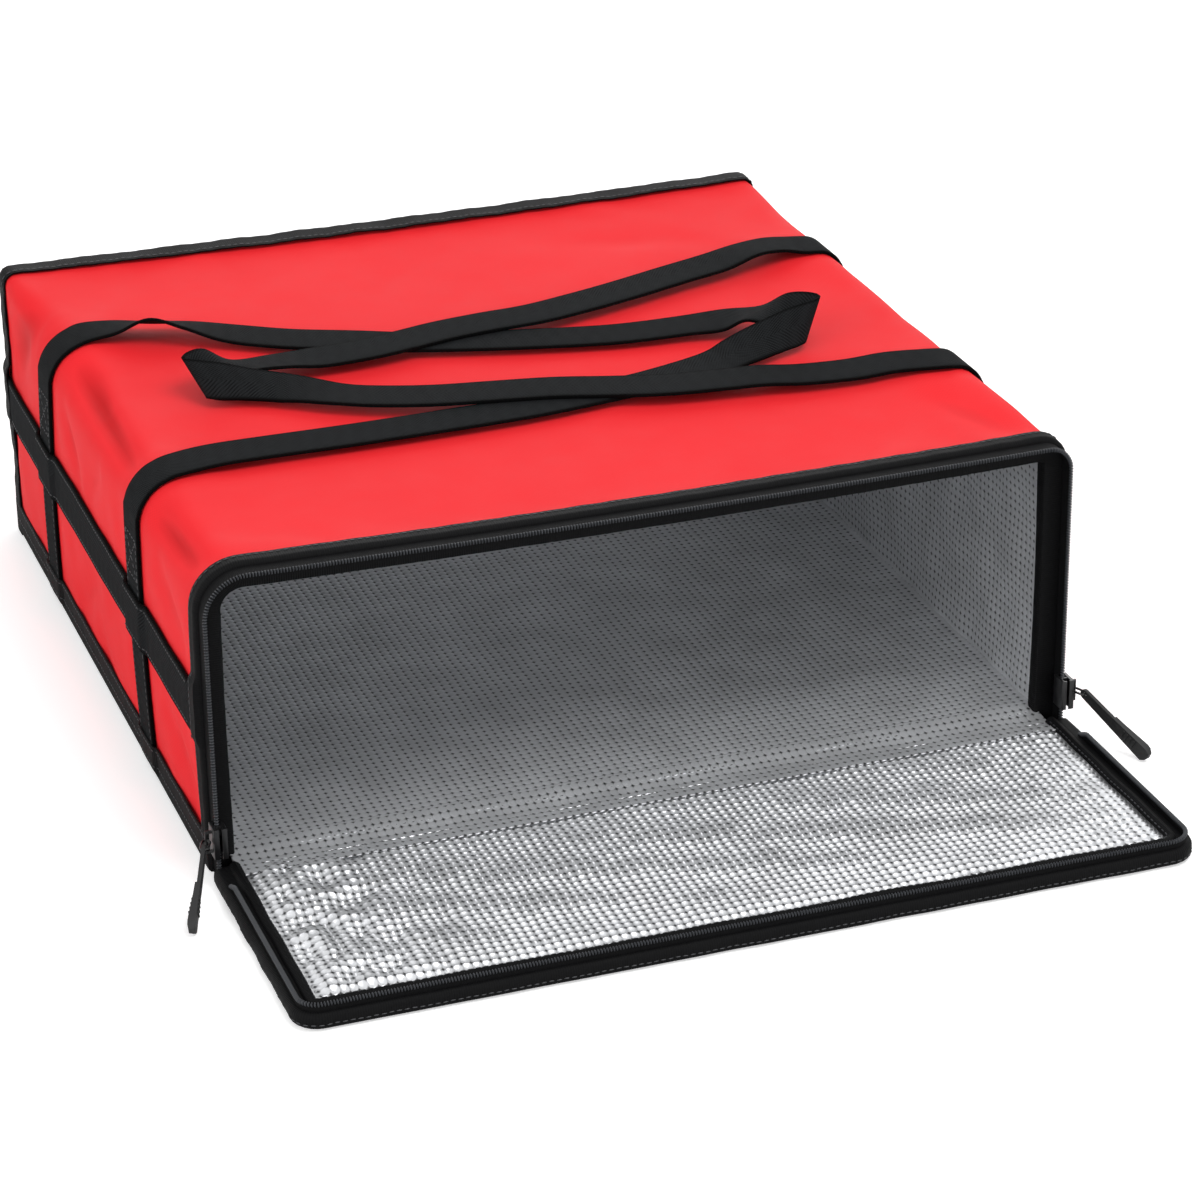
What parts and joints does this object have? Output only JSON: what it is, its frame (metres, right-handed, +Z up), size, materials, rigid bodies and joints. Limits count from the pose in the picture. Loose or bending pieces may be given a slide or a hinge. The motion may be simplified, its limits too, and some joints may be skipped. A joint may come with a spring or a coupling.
{
  "type": "insulated pizza delivery bag",
  "caption": "Square insulated delivery bag with foil lining, a fold-down zipped front flap with sliders and pulls, side straps and two webbing carry handles.",
  "frame": {"origin": "on the ground, under the middle of the bag's closed body (the flap laid open isn't counted)", "axes": "+Z up, -Y out of the mouth towards the open flap, +X to the right seen from the front"},
  "size_m": [0.466, 0.56, 0.1694],
  "materials": {
    "red_fabric": "matte",
    "white_foam": "matte",
    "silver_foil": "satin",
    "black_binding": "matte",
    "black_tape": "matte",
    "black_coil": "satin",
    "black_webbing": "matte",
    "black_metal": "satin",
    "black_rubber": "matte"
  },
  "bodies": {
    "bag": {"back_band": "black_webbing", "back_binding": "black_binding", "back_bottom_binding": "black_binding", "back_foam": "white_foam", "back_lining": "silver_foil", "back_panel": "red_fabric", "body_zipper_coil": "black_coil", "body_zipper_tape": "black_tape", "bottom_foam": "white_foam", "bottom_lining": "silver_foil", "bottom_panel": "red_fabric", "flap_hinge_strip": "black_binding", "left_bottom_binding": "black_binding", "left_foam": "white_foam", "left_front_strap": "black_webbing", "left_rear_strap": "black_webbing", "left_side_band": "black_webbing", "opening_binding": "black_binding", "outer_sleeve": "red_fabric", "right_bottom_binding": "black_binding", "right_foam": "white_foam", "right_front_strap": "black_webbing", "right_rear_strap": "black_webbing", "right_side_band": "black_webbing", "sleeve_lining": "silver_foil", "top_foam": "white_foam"},
    "front_flap": {"flap_binding": "black_binding", "flap_foam": "white_foam", "flap_lining": "silver_foil", "flap_panel": "red_fabric", "flap_zipper_coil": "black_coil", "flap_zipper_tape": "black_tape"},
    "left_slider_body": {"left_slider": "black_metal"},
    "left_link_body": {"left_pull_link": "black_metal"},
    "left_tab_body": {"left_pull_tab": "black_rubber"},
    "left_handle_body": {"left_handle": "black_webbing"},
    "right_slider_body": {"right_slider": "black_metal"},
    "right_link_body": {"right_pull_link": "black_metal"},
    "right_tab_body": {"right_pull_tab": "black_rubber"},
    "right_handle_body": {"right_handle": "black_webbing"}
  },
  "joints": [
    {"name": "flap_hinge", "type": "hinge", "parent": "bag", "child": "front_flap", "pos_m": [0, -0.21, 0.013], "axis": [-1, 0, 0], "range_deg": [0, 90]},
    {"name": "left_slider_slide", "type": "slide", "parent": "bag", "child": "left_slider_body", "axis": [0, 0, 1], "range_m": [0, 0.1]},
    {"name": "left_pull_swing", "type": "hinge", "parent": "left_slider_body", "child": "left_link_body", "pos_m": [-0.2143, -0.21, 0.022], "axis": [0, 0, -1], "range_deg": [0, 130]},
    {"name": "left_pull_tilt", "type": "hinge", "parent": "left_link_body", "child": "left_tab_body", "pos_m": [-0.21689, -0.21629, 0.022], "axis": [-0.9245, 0.3811, 0], "range_deg": [-60, 100]},
    {"name": "right_slider_slide", "type": "slide", "parent": "bag", "child": "right_slider_body", "axis": [0, 0, 1], "range_m": [0, 0.1]},
    {"name": "right_pull_swing", "type": "hinge", "parent": "right_slider_body", "child": "right_link_body", "pos_m": [0.2143, -0.21, 0.022], "axis": [0, 0, 1], "range_deg": [0, 130]},
    {"name": "right_pull_tilt", "type": "hinge", "parent": "right_link_body", "child": "right_tab_body", "pos_m": [0.21689, -0.21629, 0.022], "axis": [-0.9245, -0.3811, 0], "range_deg": [-60, 100]},
    {"name": "right_handle_hinge", "type": "hinge", "parent": "bag", "child": "right_handle_body", "pos_m": [0.19, 0, 0.15262], "axis": [0, 1, 0], "range_deg": [0, 150]},
    {"name": "left_handle_hinge", "type": "hinge", "parent": "bag", "child": "left_handle_body", "pos_m": [-0.19, 0, 0.15262], "axis": [0, -1, 0], "range_deg": [0, 50]}
  ],
  "couplings": [
    {"joint": "left_handle_hinge", "follows": "right_handle_hinge", "ratio": 0.33333}
  ]
}
